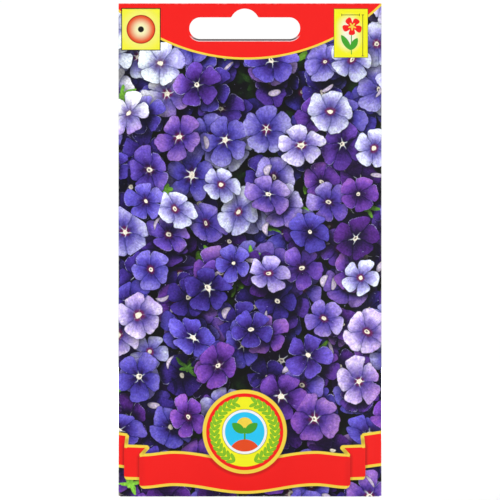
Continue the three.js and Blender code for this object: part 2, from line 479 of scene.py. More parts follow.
def find_bloom(nodes, given):
    """The nearest bloom: its random numbers and petals in its own plane, tilted and turned."""
    turned = nodes.turn(given["Place"], given["Turn"])
    place = nodes.vector("ADD", turned, given["Shift"])
    (one, two, three), centre = nearest_cell(nodes, place, given["Cell"], 0.5)
    four, five, six = fraction(one, 17.31), fraction(two, 23.73), fraction(three, 31.17)
    ripple = nodes.waver(place, 0.22, 0.36, 3.0)
    size = given["Radius"] * (one * 0.32 + 0.84)
    local = nodes.vector("SUBTRACT", place, centre)
    local = nodes.vector("SCALE", local, scale=1.0 / size)
    rippled = nodes.vector("ADD", local, ripple)
    tilt_angle = two * TAU
    leaning = nodes.turn(rippled, tilt_angle)
    squash = nodes.calc("SQRT", three) * 0.42 + 0.6
    x, y, _ = nodes.parts(leaning)
    flat = nodes.turn(nodes.join(x / squash, y), four * TAU)
    shape = petals_at(nodes, flat, five * 0.3 + 0.8, six)
    return SimpleNamespace(
        chances=(one, two, three, four, five, six),
        place=place,
        local=local,
        flat=flat,
        squash=squash,
        tilt_angle=tilt_angle,
        outline=shape["Outline"],
        across=shape["Across"],
        side=shape["Side"],
        petal_angle=shape["Petal angle"],
        reach=shape["Reach"],
    )


def light_petals(nodes, given, bloom):
    """Light and shade on the petals: their tilt, overlaps, curve and veins."""
    one, _, _, four, _, _ = bloom.chances
    turned_by = bloom.tilt_angle + four * TAU + given["Turn"]
    facing = nodes.calc("COSINE", bloom.petal_angle - turned_by - LIGHT_ANGLE)
    facing = facing * (1.15 - bloom.squash) * 0.42 + 1.0
    bloom.from_gap = bloom.reach * nodes.calc("SINE", (1.0 - abs(bloom.side)) * HALF_SECTOR)
    gap = nodes.step(bloom.from_gap, 0.0, 0.045, 0.5, 1.0)
    overlap = nodes.step(bloom.side, 0.3, 1.0, 1.0, 0.72)
    crown = 1.04 - bloom.across * bloom.across * 0.22
    outward = nodes.step(bloom.reach, 0.15, 0.95, 0.72, 1.12)
    bloom.own = nodes.calc("SINE", bloom.petal_angle * 5.3 + one * 40.0) * 0.13 + 1.0
    vein_place = nodes.join(
        bloom.side * 10.0, bloom.reach * 1.8, bloom.petal_angle * 3.0 + one * 60.0
    )
    bloom.vein = nodes.noise(vein_place, 1.9, 3.0)
    light = facing * gap * overlap * crown * outward * bloom.own * (bloom.vein * 0.9 + 0.55)
    return light * given["Light"]


def tint_petals(nodes, given, bloom, light, inks):
    """Violet to white petals, with a purple cast, dark streaks and pale curled rims."""
    _, _, _, four, _, six = bloom.chances
    tone = nodes.calc("MINIMUM", given["Tone"] + (six - 0.5) * 0.62, given["Palest"])
    purple = nodes.step(four + given["Warmth"], 0.5, 1.0) * nodes.step(tone, 0.55, 0.85, 1.0, 0.15)
    mottled = tone + nodes.step(bloom.reach, 0.15, 0.9, -0.16, 0.1)
    mottled = mottled + nodes.noise(bloom.place, 0.6) * 0.3
    mottled = mottled - purple * 0.15 - 0.15
    stops = [
        (0.0, inks.indigo),
        (0.28, inks.violet),
        (0.48, inks.blue),
        (0.66, inks.lavender),
        (0.82, inks.pale),
        (0.95, inks.ice),
    ]
    petal = nodes.ramp(mottled, stops)
    petal = nodes.mix(purple, petal, PURPLE_CAST, blend="MULTIPLY")
    petal = nodes.mix(1.0 - light, petal, SHADE_CAST, blend="MULTIPLY")
    petal = nodes.dim(petal, light)
    streak = nodes.step(abs(bloom.across), 0.0, 0.6, 1.0, 0.2)
    throat = nodes.step(bloom.reach, 0.1, 0.6, 0.9, 0.0) * streak
    throat = throat * nodes.step(tone, 0.6, 1.0, 1.0, 0.8)
    petal = nodes.mix(throat, petal, inks.throat)
    wine = nodes.step(bloom.reach, 0.12, 0.28, 0.85, 0.0) * nodes.step(six, 0.35, 0.7)
    petal = nodes.mix(wine, petal, inks.wine)
    curl = nodes.step(bloom.outline, 0.93, 0.98) * nodes.step(bloom.side, -0.4, 0.5)
    curl = curl * nodes.step(bloom.vein, 0.42, 0.6) * nodes.step(bloom.own, 0.98, 1.06)
    return nodes.mix(curl, petal, inks.pale)


def draw_eye(nodes, given, bloom, petal, inks):
    """White rays along the gaps between the petals, a cream eye and its pinhole."""
    one, two, *_ = bloom.chances
    ray = nodes.step(bloom.from_gap, 0.006, 0.032, 1.0, 0.0)
    ray = ray * nodes.step(bloom.reach, 0.1, 0.34, 1.0, 0.0)
    ray = ray * nodes.step(one, 0.5, 0.95)
    petal = nodes.mix(ray, petal, inks.ice)
    eye = nodes.dim(inks.eye, given["Light"])
    petal = nodes.mix(nodes.step(bloom.reach, *EYE_EDGE, 1.0, 0.0), petal, eye)
    off_centre = nodes.vector("DISTANCE", bloom.flat, PINHOLE)
    pinhole = nodes.step(off_centre, *PINHOLE_EDGE, 0.85, 0.0) * nodes.step(two, 0.2, 0.6)
    return nodes.mix(pinhole, petal, inks.throat)


def build_bloom_layer(name, inks):
    """Phlox blooms scattered in one layer, with their soft shadow on what lies below."""
    numbers = ("Turn", "Cell", "Radius", "Tone", "Palest", "Warmth", "Light", "Fill")
    nodes, given, end = new_layer(name, *numbers)
    bloom = find_bloom(nodes, given)
    here = nodes.calc("LESS_THAN", bloom.chances[4], given["Fill"])
    cover = nodes.step(bloom.outline, 0.96, 1.04, 1.0, 0.0) * here
    light = light_petals(nodes, given, bloom)
    petal = tint_petals(nodes, given, bloom, light, inks)
    petal = draw_eye(nodes, given, bloom, petal, inks)
    fall = nodes.turn(SHADOW_FALL, given["Turn"])
    far = nodes.vector("DISTANCE", bloom.local, fall)
    shadow = nodes.step(far, 0.72, 1.2, 0.75, 0.0) * here
    edge = nodes.step(bloom.outline, 1.0, 1.1, 0.5, 0.0) * here
    below = nodes.dim(given["Below"], (1.0 - shadow) * (1.0 - edge))
    return close_layer(nodes, given, end, cover, below, petal)


def build_leaf_layer(name, inks):
    """Tufts of narrow leaves scattered over the colours below them."""
    nodes, given, end = new_layer(name, "Cell", "Radius", "Light")
    place = nodes.vector("ADD", given["Place"], given["Shift"])
    (one, two, three), centre = nearest_cell(nodes, place, given["Cell"], 0.8)
    ripple = nodes.waver(place, 0.25, 0.4)
    local = nodes.vector("SUBTRACT", place, centre)
    local = nodes.vector("SCALE", local, scale=1.0 / given["Radius"])
    local = nodes.turn(nodes.vector("ADD", local, ripple), one * TAU)
    x, y, _ = nodes.parts(local)
    reach = nodes.vector("LENGTH", local)
    angle = nodes.calc("ARCTAN2", y, x)
    half = math.pi / TUFT_LEAVES
    side_angle = nodes.calc("WRAP", angle, half, -half)
    leaf_angle = angle - side_angle
    along = reach * nodes.calc("COSINE", side_angle)
    across = abs(reach * nodes.calc("SINE", side_angle))
    tip = nodes.calc("SINE", leaf_angle * 1.7 + two * TAU) * 0.36 + 0.64
    share = along / tip
    body = nodes.calc("MAXIMUM", 1.0 - share, 0.0)
    width = nodes.calc("SQRT", body * (share + 0.12)) * 0.25 + 0.004
    cover = nodes.step(across / width, 0.8, 1.1, 1.0, 0.0) * nodes.step(body, 0.0, 0.03)
    rib = nodes.step(across / width, 0.0, 0.35, 1.25, 1.0)
    shade = nodes.noise(local, 3.0, 2.0) * 0.9 + 0.5
    leaf = nodes.mix(nodes.step(three, 0.2, 0.9), inks.leaf_shade, inks.leaf)
    leaf = nodes.dim(leaf, rib * shade * given["Light"])
    below = nodes.dim(given["Below"], nodes.step(reach, 0.2, 1.0, 0.45, 1.0))
    return close_layer(nodes, given, end, cover, below, leaf)


def build_bud_layer(name, inks):
    """Rolled buds scattered over the colours below them."""
    nodes, given, end = new_layer(name, "Cell", "Radius")
    place = nodes.vector("ADD", given["Place"], given["Shift"])
    (one, two, three), centre = nearest_cell(nodes, place, given["Cell"], 0.9)
    local = nodes.vector("SUBTRACT", place, centre)
    local = nodes.turn(nodes.vector("SCALE", local, scale=1.0 / given["Radius"]), one * TAU)
    x, y, _ = nodes.parts(local)
    slim = nodes.step(three, 0.2, 0.8, 0.62, 0.3)
    bent = y + x * x * (two - 0.5) * 0.8
    round_place = nodes.join(x / (1.5 - slim * 0.5), bent / slim)
    reach = nodes.vector("LENGTH", round_place)
    rolled_x, rolled_y, _ = nodes.parts(round_place)
    whorl = nodes.calc("ARCTAN2", rolled_y, rolled_x)
    folds = nodes.calc("SINE", whorl * 2.0 + reach * 8.0 + two * TAU) * 0.5 + 0.5
    edge = nodes.step(reach, 0.55, 1.0, 1.0, 0.55)
    tint = nodes.mix(folds * 0.4, inks.bud, inks.lavender)
    tint = nodes.dim(tint, edge * (1.05 - two * 0.3))
    cover = nodes.step(reach, 0.92, 1.06, 1.0, 0.0) * nodes.calc("LESS_THAN", one, BUD_SHARE)
    below = nodes.dim(given["Below"], nodes.step(reach, 0.9, 1.5, 0.55, 1.0))
    return close_layer(nodes, given, end, cover, below, tint)


# The field's layers, from the lowest up, and the sizes in millimetres of what they hold
BLOOM_LAYERS = 7
LEAVES_BELOW = (0, 2, 5)
BUDS_BELOW = (4, 6)
BLOOM_CELL = 17.0
BLOOM_RADIUS = 6.9
LEAF_CELL = 18.0
LEAF_RADIUS = 6.6
BUD_CELL = 17.0
BUD_RADIUS = 1.6
# Lighter parts of the field: centre, where the change starts and ends, and how much it is
PALE_CORNER = ((-44.0, -18.0, 0.0), 12.0, 30.0, 0.56)
PALE_FLANK = ((44.0, -28.0, 0.0), 14.0, 46.0, 0.5)
BRIGHT_HEART = ((2.0, -66.0, 0.0), 8.0, 38.0, 0.22)


def lighter_round(nodes, place, centre, start, stop, amount):
    """An amount of light round a centre, which is gone from a distance of stop on."""
    return nodes.step(nodes.vector("DISTANCE", place, centre), start, stop, amount, 0.0)


def layer_shift(layer, stride, start):
    """How far a layer's pattern is moved, so that no two layers are alike."""
    return (stride[0] * layer + start[0], stride[1] * layer + start[1], 0.0)


def build_bloom_field(name, inks):
    """The whole field: dark ground, leaf tufts and layers of blooms, the top ones lightest."""
    outputs = {"Color": "colour", "Place": "vector"}
    nodes, given, end = new_group(name, {"Place": "vector"}, outputs)
    place = given["Place"]
    leafy = nodes.step(nodes.noise(place, 0.16, 3.0), 0.46, 0.62)
    under = nodes.mix(leafy, inks.ground, inks.leaf_shade)
    x, y, _ = nodes.parts(place)
    drift = nodes.noise(nodes.vector("ADD", place, (31.0, 87.0, 0.0)), 0.022, 1.0)
    corner = lighter_round(nodes, place, *PALE_CORNER)
    flank = lighter_round(nodes, place, *PALE_FLANK)
    heart = lighter_round(nodes, place, *BRIGHT_HEART)
    tone = (drift - 0.5) * 0.8 + 0.5 + heart
    pale = corner + flank
    warmth = nodes.step(x * 0.5 - y, 30.0, 130.0, -0.15, 0.3)
    blooms = cached_group("Bloom layer", build_bloom_layer, inks)
    leaves = cached_group("Leaf layer", build_leaf_layer, inks)
    buds = cached_group("Bud layer", build_bud_layer, inks)

    def lay(group, place, under, **values):
        drawn = nodes.use(group, Place=place, Below=under, **values)
        return drawn["Place"], drawn["Color"]

    for layer in range(BLOOM_LAYERS):
        height = layer / (BLOOM_LAYERS - 1)
        if layer in LEAVES_BELOW:
            place, under = lay(
                leaves,
                place,
                under,
                Shift=layer_shift(layer, (23.0, 41.0), (5.0, 9.0)),
                Cell=LEAF_CELL + 2.5 * layer,
                Radius=LEAF_RADIUS - 0.35 * layer,
                Light=0.8 + 0.1 * layer,
            )
        if layer in BUDS_BELOW:
            shift = layer_shift(layer, (19.0, 13.0), (3.0, 7.0))
            place, under = lay(buds, place, under, Shift=shift, Cell=BUD_CELL, Radius=BUD_RADIUS)
        place, under = lay(
            blooms,
            place,
            under,
            Shift=layer_shift(layer, (37.7, 53.9), (11.0, 23.0)),
            Turn=0.83 * layer + 0.3,
            Cell=BLOOM_CELL + 1.1 * (layer % 3),
            Radius=BLOOM_RADIUS,
            Tone=tone + pale * (0.1 + 0.9 * height) - (1.0 - height) * 0.26,
            Palest=corner * 0.3 + 0.8,
            Warmth=warmth,
            Light=0.5 + 0.55 * height,
            Fill=BLOOM_SHARE,
        )

    # Glints, a fine grain, and deeper darks
    glint = nodes.step(nodes.noise(place, 1.1, 3.0), 0.68, 0.8, 0.0, 0.5)
    under = nodes.mix(glint, under, inks.pale)
    crinkle = nodes.noise(nodes.vector("ADD", place, (57.0, 9.0, 0.0)), 1.5, 3.0)
    under = nodes.dim(under, crinkle * 1.2 + 0.4)
    red, green, blue = nodes.channels(under)
    under = nodes.dim(under, nodes.step(red + green + blue, 0.0, 0.32, 0.4, 1.05))
    return close_group(nodes, end, Color=under, Place=place)


# Print ------------------------------------------------------------------------------------------
# Places and sizes on the print are in millimetres, from the frame's origin

# Half the width over which the edge of an ink fades
INK_SOFT = 0.07
# How much light the soft shadows of the ribbon and the seal leave
SHADOW_TONE = 0.65


def build_box_shape(name):
    """Distance from the outline of a box with round corners, below 0 inside it."""
    inputs = {"Place": "vector", "Centre": "vector", "Half size": "vector", "Corner": "number"}
    nodes, given, end = new_group(name, inputs, {"Distance": "number"})
    offset = nodes.vector("ABSOLUTE", nodes.vector("SUBTRACT", given["Place"], given["Centre"]))
    x, y, _ = nodes.parts(nodes.vector("SUBTRACT", offset, given["Half size"]))
    x, y = x + given["Corner"], y + given["Corner"]
    outside = nodes.join(nodes.calc("MAXIMUM", x, 0.0), nodes.calc("MAXIMUM", y, 0.0))
    inside = nodes.calc("MINIMUM", nodes.calc("MAXIMUM", x, y), 0.0)
    distance = nodes.vector("LENGTH", outside) + inside - given["Corner"]
    return close_group(nodes, end, Distance=distance)


class Print:
    """A picture that is built up ink by ink: its colours so far, and the place on it.

    Its shapes are distances from their outlines, which are below 0 inside.
    """

    def __init__(self, nodes, under, place, inks):
        self.nodes = nodes
        self.under = under
        self.place = place
        self.inks = inks

    def lay(self, share, paint):
        """Lays an ink, given by its name, or another colour over the colours so far."""
        if isinstance(paint, str):
            paint = getattr(self.inks, paint)
        self.under = self.nodes.mix(share, self.under, paint)

    def ink(self, shape, paint):
        """Paints the inside of a shape."""
        self.lay(self.nodes.step(shape, -INK_SOFT, INK_SOFT, 1.0, 0.0), paint)

    def shade(self, far, start, width):
        """Lays a soft shadow, darkest where far is start and gone after that width."""
        light = self.nodes.step(far, start, start + width, SHADOW_TONE, 1.0)
        self.under = self.nodes.dim(self.under, light)

    def box(self, centre, half, corner=0.0, place=None):
        group = cached_group("Box shape", build_box_shape)
        sizes = {"Centre": (*centre, 0.0), "Half_size": (*half, 0.0), "Corner": corner}
        return self.nodes.numbers(group, Place=place or self.place, **sizes)["Distance"]

    def disc(self, centre, radius, place=None):
        return self.nodes.vector("DISTANCE", place or self.place, (*centre, 0.0)) - radius

    def stroke(self, start, end, width, place):
        """A straight stroke with round ends."""
        nodes = self.nodes
        run = Vector((end[0] - start[0], end[1] - start[1], 0.0))
        offset = nodes.vector("SUBTRACT", place, (*start, 0.0))
        share = nodes.vector("DOT_PRODUCT", offset, run / run.length_squared)
        share = nodes.calc("MINIMUM", nodes.calc("MAXIMUM", share, 0.0), 1.0)
        nearest = nodes.vector("SCALE", run, scale=share)
        return nodes.vector("DISTANCE", offset, nearest) - width / 2

    def leaf(self, base, degrees, reach, width):
        """A pointed leaf that grows from its base at an angle."""
        nodes = self.nodes
        offset = nodes.vector("SUBTRACT", self.place, (*base, 0.0))
        x, y, _ = nodes.parts(nodes.turn(offset, -math.radians(degrees)))
        share = x * (1.0 / reach)
        belly = nodes.calc("MAXIMUM", share * (1.0 - share) * 4.0, 0.0)
        beside = abs(y) - nodes.calc("POWER", belly, 0.8) * (width / 2)
        beyond = abs(x - reach / 2) - reach / 2
        return nodes.calc("MAXIMUM", beside, beyond)


def middle_of(first, second):
    return ((first[0] + second[0]) / 2, (first[1] + second[1]) / 2)


HEADER_CENTRE_X = 0.56
HEADER_ARC_RADIUS = 58.9
HEADER_DROP = 16.45
HEADER_RIM = 0.65


def print_header(art):
    """Red header with an arched lower edge and a gold rim."""
    centre = (HEADER_CENTRE_X, PRINT_TOP - HEADER_DROP + HEADER_ARC_RADIUS)
    red = art.disc(centre, HEADER_ARC_RADIUS)
    art.ink(red - HEADER_RIM, "gold")
    art.ink(red, "red")


# Widths in millimetres of the painted shadow line under the slot and of the pale rim beyond it
SLOT_SHADOW_WIDTH = 0.5
SLOT_RIM_WIDTH = 0.22


def print_slot_shadow_line(art, slot):
    """A painted shadow along the slot's lower edge: a dark line just below the slot, with a pale
    rim below that.
    """
    nodes = art.nodes
    level = -(slot.dome_rise + slot.height / 2) / MM
    half = (slot.width / 2 / MM, slot.height / 2 / MM)
    shadow_line = art.box((0.0, level), half, half[1]) - SLOT_SHADOW_WIDTH
    _, y, _ = nodes.parts(art.place)
    lower = nodes.step(y - level, -half[1] - 0.1, -half[1] * 0.6, 1.0, 0.0)
    # The pale rim beyond the painted shadow line
    art.lay(nodes.step(shadow_line - SLOT_RIM_WIDTH, -INK_SOFT, INK_SOFT, 0.75, 0.0) * lower, WHITE)
    # Painted shadow: a dark line just below the slot's lower edge
    art.lay(nodes.step(shadow_line, -INK_SOFT, INK_SOFT, 0.9, 0.0) * lower, "black")


SUN_FIELD = ((-31.57, -6.28), (6.01, 6.47))
SUN_RADIUS = 4.1
SUN_DOT = 0.9
SUN_LINE = 0.28


def print_field(art, box, line, paint):
    """A painted field with a thin dark outline."""
    edge = art.box(*box)
    art.ink(edge, "black")
    art.ink(edge + line, paint)


def print_sun_sign(art):
    """The gardener's sign for full sun: a shaded disc with a dot."""
    nodes, inks = art.nodes, art.inks
    rim = art.disc(SUN_FIELD[0], SUN_RADIUS)
    halo = nodes.mix(nodes.step(rim, 0.0, 3.5, 0.34, 0.06), inks.yellow, inks.cream)
    print_field(art, SUN_FIELD, SUN_LINE, halo)
    glow = nodes.step(rim, -SUN_RADIUS * 0.75, 0.0)
    glow = nodes.mix(glow, inks.cream, inks.orange)
    art.ink(rim - SUN_LINE, "dark_red")
    art.ink(rim, glow)
    art.ink(rim + (SUN_RADIUS - SUN_DOT), "black")


FLOWER_FIELD = ((32.3, -7.45), (5.23, 7.5))
FLOWER_LINE = 0.14
FLOWER_CENTRE = (32.7, -5.4)
FLOWER_RADIUS = 2.95
STEM_FOOT = (32.2, -13.9)
STEM_HALF = 0.14
LEAF_FORK = (32.2, -12.6)
# Each leaf's angle in degrees, reach and width
SIGN_LEAVES = ((122, 5.4, 1.8), (60, 4.2, 1.9))
RULE_HALF = 0.09
RULE_TICK = 0.36
# The spacing rule's left and right end and level, and the height rule's place and low end
SPACING_RULE = (29.5, 34.9, -1.9)
HEIGHT_RULE = (35.9, -14.4)


def print_flower(art):
    """A red five-petalled flower with a golden star in it."""
    nodes = art.nodes
    local = nodes.vector("SUBTRACT", art.place, (*FLOWER_CENTRE, 0.0))
    local = nodes.turn(nodes.vector("SCALE", local, scale=1 / FLOWER_RADIUS), 0.35)
    shape = petals_at(nodes, local, 0.72, 0.3)
    art.ink((shape["Outline"] - 1.0) * (FLOWER_RADIUS * 0.4), "red")
    star = shape["Reach"] - nodes.step(abs(shape["Side"]), 0.0, 1.0, 0.42, 0.14)
    art.ink(star * FLOWER_RADIUS, "gold")


def print_rules(art):
    """A spacing line above the flower and a height line beside it, each with end ticks."""
    left, right, level = SPACING_RULE
    beside, low = HEIGHT_RULE
    rules = [
        (((left + right) / 2, level), ((right - left) / 2, RULE_HALF)),
        ((left, level), (RULE_HALF, RULE_TICK)),
        ((right, level), (RULE_HALF, RULE_TICK)),
        ((beside, (level + low) / 2), (RULE_HALF, (level - low) / 2)),
        ((beside, level), (RULE_TICK, RULE_HALF)),
        ((beside, low), (RULE_TICK, RULE_HALF)),
    ]
    for centre, half in rules:
        art.ink(art.box(centre, half), "black")


def print_flower_sign(art):
    """A red flower on a stem, with lines for its spacing and height."""
    print_field(art, FLOWER_FIELD, FLOWER_LINE, "yellow")
    field_x, field_y = FLOWER_FIELD[0]
    from_middle = art.box((field_x - 0.6, field_y), (1.0, 3.0), 1.0)
    art.lay(art.nodes.step(from_middle, -0.5, 3.6, 0.95, 0.0), "back")
    stem = (STEM_HALF, (FLOWER_CENTRE[1] - STEM_FOOT[1]) / 2)
    art.ink(art.box(middle_of(FLOWER_CENTRE, STEM_FOOT), stem), "green")
    for leaf in SIGN_LEAVES:
        art.ink(art.leaf(LEAF_FORK, *leaf), "green")
    print_flower(art)
    print_rules(art)


RIBBON_LEVEL = -142.2
RIBBON_HALF = 5.35
RIBBON_TRIM = 0.85
RIBBON_REACH = 32.0
RIBBON_SHADOW = 1.2
WAVE_HEIGHT = 2.4
WAVE_CREST = 21.5
END_DIP = 0.85
CURL_WIDTH = 1.1
# Each folded length: its inner and outer end, its level, its slope, and the foot of its curl
FOLDS = (
    (35.2, 46.0, -134.6, 0.14, (36.05, -133.05)),
    (29.0, 36.6, -138.1, 0.03, (31.45, -135.7)),
)


def curl_head(inner, level):
    """Where a folded length's upper trim turns back into its curl."""
    return (inner + CURL_WIDTH / 2, level + RIBBON_HALF - CURL_WIDTH * 0.75)


def print_fold(art, place, fold):
    """One folded length of the ribbon's tails, cut off along its curl."""
    nodes = art.nodes
    inner, outer, level, slope, foot = fold
    middle, half = ((inner + outer) / 2, level), (outer - inner) / 2
    head = curl_head(inner, level)
    x, y, _ = nodes.parts(place)
    run, rise = foot[0] - head[0], foot[1] - head[1]
    beyond = ((x - head[0]) * rise - (y - head[1]) * run) * (1 / math.hypot(run, rise))
    cut = nodes.calc("MINIMUM", beyond, y - foot[1])
    place = nodes.join(x, y - (x - inner) * slope)
    outline = art.box(middle, (half, RIBBON_HALF), 0.9, place)
    outline = nodes.calc("MAXIMUM", outline, cut)
    art.shade(outline, 0.0, RIBBON_SHADOW)
    art.ink(outline, "gold")
    inside = art.box(middle, (half + 0.1, RIBBON_HALF - RIBBON_TRIM), 0.5, place)
    inside = nodes.calc("MAXIMUM", inside, cut)
    shade = nodes.step(x, inner, inner + 2.6, 0.75, 0.0)
    art.ink(inside, nodes.mix(shade, art.inks.red, art.inks.dark_red))


def print_ribbon(art):
    """A waving red ribbon with gold trims, whose folded tails run off the sheet."""
    nodes, inks = art.nodes, art.inks
    x, y, _ = nodes.parts(art.place)
    far = abs(x)
    mirrored = nodes.join(far, y)
    for fold in FOLDS:
        print_fold(art, mirrored, fold)
    inward = nodes.calc("MINIMUM", far, WAVE_CREST)
    crest = nodes.calc("COSINE", inward * (math.pi / WAVE_CREST))
    lowest = -WAVE_HEIGHT / 2
    dip = nodes.step(far, WAVE_CREST, RIBBON_REACH - 1.0, lowest, END_DIP + lowest)
    flat = nodes.join(far, y + crest * (WAVE_HEIGHT / 2) + dip)
    centre = (0.0, RIBBON_LEVEL)
    outline = art.box(centre, (RIBBON_REACH, RIBBON_HALF), 1.5, flat)
    art.shade(outline, 0.0, RIBBON_SHADOW)
    art.ink(outline, "gold")
    satin = nodes.step(crest, -1.0, -0.2, 0.0, 0.03) + nodes.step(far, 29.5, 32.0, 0.0, 0.15)
    tint = nodes.mix(satin, inks.red, inks.dark_red)
    half = (RIBBON_REACH + 0.1, RIBBON_HALF - RIBBON_TRIM)
    art.ink(art.box(centre, half, 0.7, flat), tint)
    for inner, _, level, _, foot in FOLDS:
        head = curl_head(inner, level)
        curl = art.stroke(head, foot, CURL_WIDTH, mirrored)
        from_middle = art.disc(middle_of(head, foot), 0.0, mirrored)
        art.ink(curl, nodes.dim(inks.gold, nodes.step(from_middle, 0.3, 1.5, 0.68, 1.0)))


SEAL_CENTRE = (0.0, -128.6)
SEAL_RADIUS = 12.8
SEAL_BAND = 1.1
SEAL_SHADOW = 1.4
WREATH_RADIUS = 9.25
WREATH_LEAVES = 17
WREATH_BARE = 3
WREATH_LEAF = (0.86, 0.8)
WREATH_GAP = 0.74
WREATH_LINE = 0.14
SEAL_DISC = 6.9
DISC_RIM = 0.9
DISC_LINE = 0.12


def print_wreath(art, local):
    """Two sprays of slanting leaves that rise on both sides from the foot of the seal."""
    nodes = art.nodes
    x, y, _ = nodes.parts(local)
    reach = nodes.vector("LENGTH", local)
    turn = nodes.calc("ARCTAN2", abs(x), y * -1.0)
    beside = abs(reach - WREATH_RADIUS)
    half = math.pi / WREATH_LEAVES / 2
    slanted = turn - beside * 0.1
    side = nodes.calc("WRAP", slanted, half, -half)
    beyond = abs(slanted - math.pi / 2) - half * (WREATH_LEAVES - WREATH_BARE)
    along = (beside - WREATH_GAP) * (1 / WREATH_LEAF[0])
    across = side * (WREATH_RADIUS / WREATH_LEAF[1])
    leaf = nodes.calc("SQRT", along * along + across * across) - 1.0
    leaf = nodes.calc("MAXIMUM", leaf, beyond * WREATH_RADIUS)
    art.ink(leaf, "green")
    art.ink(leaf + WREATH_LINE, "lime")


def print_sprout(art):
    """A sprout on a mound, with a small sun behind it."""
    foot_x, foot_y = SEAL_CENTRE[0], SEAL_CENTRE[1] - 3.3
    art.ink(art.disc((foot_x, foot_y + 5.2), 2.5), "gold")
    art.ink(art.box((foot_x, foot_y + 2.2), (0.26, 2.4), 0.2), "green")
    for degrees in (38, 142):
        art.ink(art.leaf((foot_x, foot_y + 2.9), degrees, 4.9, 2.6), "green")
    soil = art.disc((foot_x, foot_y - 3.9), 4.9)
    inside = art.disc(SEAL_CENTRE, SEAL_DISC - DISC_RIM)
    art.ink(art.nodes.calc("MAXIMUM", soil, inside), "orange")


def print_seal(art):
    """A round seal: rings, a wreath of small leaves, and a sprout on a blue disc."""
    local = art.nodes.vector("SUBTRACT", art.place, (*SEAL_CENTRE, 0.0))
    reach = art.nodes.vector("LENGTH", local)
    art.shade(reach, SEAL_RADIUS, SEAL_SHADOW)
    for ring, paint in enumerate(("gold", "red", "yellow")):
        art.ink(reach - (SEAL_RADIUS - ring * SEAL_BAND), paint)
    print_wreath(art, local)
    art.ink(reach - SEAL_DISC, "black")
    art.ink(reach - (SEAL_DISC - DISC_LINE), WHITE)
    art.ink(reach - (SEAL_DISC - DISC_RIM), "sky")
    print_sprout(art)


def build_front_print(name, inks):
    """Everything printed on the front, from the blooms up."""
    nodes, given, end = new_group(name, {"Place": "vector"}, {"Color": "colour"})
    field = cached_group("Bloom field", build_bloom_field, inks)
    drawn = nodes.use(field, Place=given["Place"])
    art = Print(nodes, drawn["Color"], drawn["Place"], inks)
    print_header(art)
    print_slot_shadow_line(art, bpy.context.scene.packet_slot)
    print_sun_sign(art)
    print_flower_sign(art)
    print_ribbon(art)
    print_seal(art)
    return close_group(nodes, end, Color=art.under)


BACK_HEADER = 15.5
BACK_FOOT = 12.0
BACK_FIELD = ((PRINT_MIDDLE, -62.0), (27.0, 42.0), 3.0)
BACK_FIELD_LINE = 0.4
FIELD_PAPER = (0.97, 0.97, 0.97)
MONTHS = 12
MONTH_WIDTH = 4.4
MONTH_LEVEL = -118.0
MONTH_BOX = (MONTH_WIDTH / 2 - 0.25, 2.6)
MONTH_LINE = 0.2
IDLE_MONTH = (0.9, 0.9, 0.88)
SOWING_MONTHS = (3, 4, 5)
BLOOM_MONTHS = (6, 7, 8, 9)


def print_months(art):
    """A strip of twelve months, with those for sowing and for blooms coloured."""
    start = PRINT_MIDDLE + MONTHS * MONTH_WIDTH / 2
    paints = {month: "green" for month in SOWING_MONTHS}
    paints.update({month: "blue" for month in BLOOM_MONTHS})
    for month in range(MONTHS):
        cell = art.box((start - (month + 0.5) * MONTH_WIDTH, MONTH_LEVEL), MONTH_BOX, 0.5)
        art.ink(cell, "black")
        art.ink(cell + MONTH_LINE, paints.get(month + 1, IDLE_MONTH))


def build_back_print(name, inks):
    """The back, read from behind: a red header, a framed blank field and a strip of months."""
    nodes, given, end = new_group(name, {"Place": "vector"}, {"Color": "colour"})
    art = Print(nodes, inks.back, given["Place"], inks)
    _, y, _ = nodes.parts(art.place)
    band = (y - (PRINT_TOP - BACK_HEADER)) * -1.0
    art.ink(band - HEADER_RIM, "gold")
    art.ink(band, "red")
    edge = art.box(*BACK_FIELD)
    art.ink(edge, "violet")
    art.ink(edge + BACK_FIELD_LINE, FIELD_PAPER)
    print_months(art)
    foot = y - (PRINT_BOTTOM + BACK_FOOT)
    art.ink(foot - HEADER_RIM, "gold")
    art.ink(foot, "red")
    return close_group(nodes, end, Color=art.under)


# Materials --------------------------------------------------------------------------------------

# Width of the rubbed edge, and half the width over which a flap's print ends
RUB_WIDTH = 0.35 * MM
BLEED_EDGE = 0.1 * MM


def print_place(nodes):
    """Object coordinates as a flat place in millimetres: X to the right and Z upwards."""
    coordinates = nodes.coordinates()
    x, _, z = nodes.parts(coordinates)
    return nodes.join(x * (1 / MM), z * (1 / MM)), coordinates


def build_paper_wear(name):
    """Rubbed ink along the folds, and the fine relief of coated paper."""
    outputs = {"Rubbed": "number", "Relief": "number", "Haze": "number"}
    nodes, given, end = new_group(name, {"Object": "vector"}, outputs)
    x, _, z = nodes.parts(given["Object"])
    side = abs(x - MIDDLE_X) - HALF_WIDTH
    ends = abs(z - (TOP_Z + BOTTOM_Z) / 2) - (TOP_Z - BOTTOM_Z) / 2
    edge = nodes.calc("MAXIMUM", side, ends)
    scuffs = nodes.noise(given["Object"], 900.0, 3.0)
    rubbed = nodes.step(edge, -RUB_WIDTH, 0.0) * nodes.step(scuffs, 0.42, 0.7)
    fibre = nodes.noise(given["Object"], 2600.0, 3.0)
    cockle = nodes.noise(given["Object"], 55.0, 2.0)
    return close_group(
        nodes,
        end,
        Rubbed=rubbed * 0.35,
        Relief=fibre * 0.12 + cockle,
        Haze=nodes.noise(given["Object"], 160.0, 3.0),
    )


def new_material(name):
    material = bpy.data.materials.new(name)
    material.use_nodes = True
    nodes = Nodes(material.node_tree)
    shader = next(n for n in material.node_tree.nodes if n.type == "BSDF_PRINCIPLED")
    return material, nodes, shader


def emboss(nodes, shader, height, strength, depth):
    """Gives the surface a fine relief of that depth, in millimetres."""
    bump = nodes.put("ShaderNodeBump")
    nodes.feed(bump, Strength=strength, Distance=depth * MM, Height=height)
    nodes.feed(shader, Normal=bump.outputs[0])


